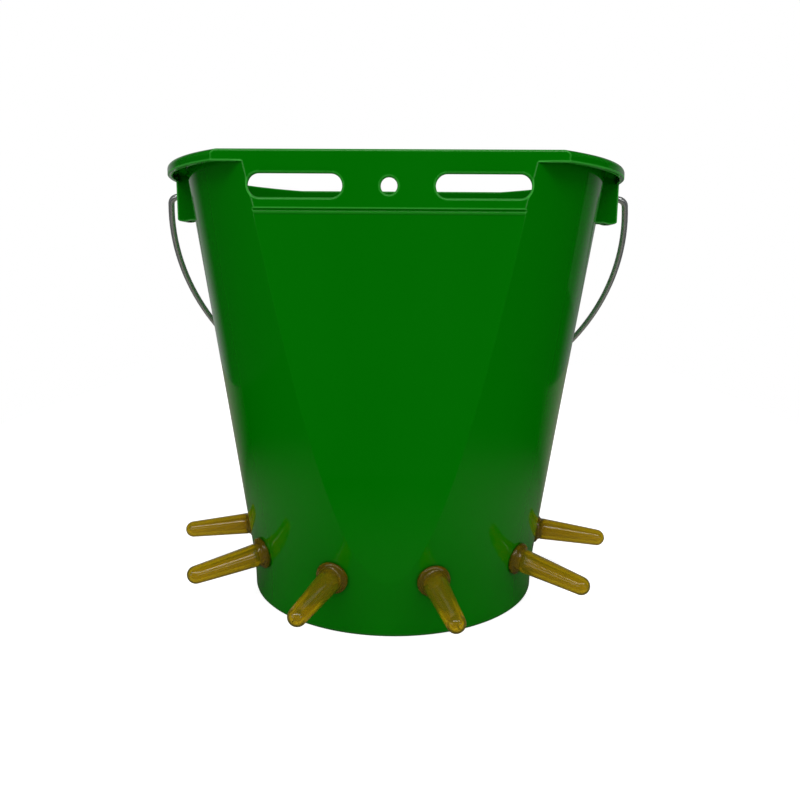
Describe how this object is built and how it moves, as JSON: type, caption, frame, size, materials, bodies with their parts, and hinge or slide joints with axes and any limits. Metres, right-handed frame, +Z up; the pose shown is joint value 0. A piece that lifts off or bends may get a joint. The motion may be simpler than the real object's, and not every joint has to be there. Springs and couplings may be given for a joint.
{
  "type": "multi teat lamb feeder",
  "caption": "Tapered plastic feeding bucket with flat slotted hanging panels, a wire bail, and latex teats with ball valves set round its lower wall.",
  "frame": {"origin": "middle of the foot ring, on the floor that the bucket stands on", "axes": "+Z up along the bucket's axis, -Y towards the front panel and the teats, +X through the right bail ear"},
  "size_m": [0.306, 0.2463, 0.27],
  "materials": {
    "bucket_plastic": "glossy moulded polypropylene, deep green",
    "bail_steel": "bright galvanised wire",
    "teat_latex": "translucent amber latex",
    "valve_plastic": "off-white moulded polyethylene",
    "ball_plastic": "smooth white plastic ball"
  },
  "bodies": {
    "bucket": {"bucket_shell": "bucket_plastic", "teat_1": "teat_latex", "teat_2": "teat_latex", "teat_3": "teat_latex", "teat_4": "teat_latex", "teat_5": "teat_latex", "teat_6": "teat_latex", "valve_body_1": "valve_plastic", "valve_body_2": "valve_plastic", "valve_body_3": "valve_plastic", "valve_body_4": "valve_plastic", "valve_body_5": "valve_plastic", "valve_body_6": "valve_plastic"},
    "bail": {"bail_wire": "bail_steel"},
    "ball_1": {"valve_ball_1": "ball_plastic"},
    "ball_2": {"valve_ball_2": "ball_plastic"},
    "ball_3": {"valve_ball_3": "ball_plastic"},
    "ball_4": {"valve_ball_4": "ball_plastic"},
    "ball_5": {"valve_ball_5": "ball_plastic"},
    "ball_6": {"valve_ball_6": "ball_plastic"}
  },
  "joints": [
    {"name": "bail_swing", "type": "hinge", "parent": "bucket", "child": "bail", "pos_m": [0, 0, 0.2555], "axis": [1, 0, 0], "range_deg": [0, 292.9]},
    {"name": "ball_1_lift", "type": "slide", "parent": "bucket", "child": "ball_1", "axis": [0.991, 0, 0.134], "range_m": [0, 0.002]},
    {"name": "ball_2_lift", "type": "slide", "parent": "bucket", "child": "ball_2", "axis": [0.8108, 0.5698, 0.134], "range_m": [0, 0.002]},
    {"name": "ball_3_lift", "type": "slide", "parent": "bucket", "child": "ball_3", "axis": [0.3243, 0.9364, 0.134], "range_m": [0, 0.002]},
    {"name": "ball_4_lift", "type": "slide", "parent": "bucket", "child": "ball_4", "axis": [-0.2698, 0.9535, 0.134], "range_m": [0, 0.002]},
    {"name": "ball_5_lift", "type": "slide", "parent": "bucket", "child": "ball_5", "axis": [-0.8017, 0.5825, 0.134], "range_m": [0, 0.002]},
    {"name": "ball_6_lift", "type": "slide", "parent": "bucket", "child": "ball_6", "axis": [-0.991, 0, 0.134], "range_m": [0, 0.002]}
  ]
}
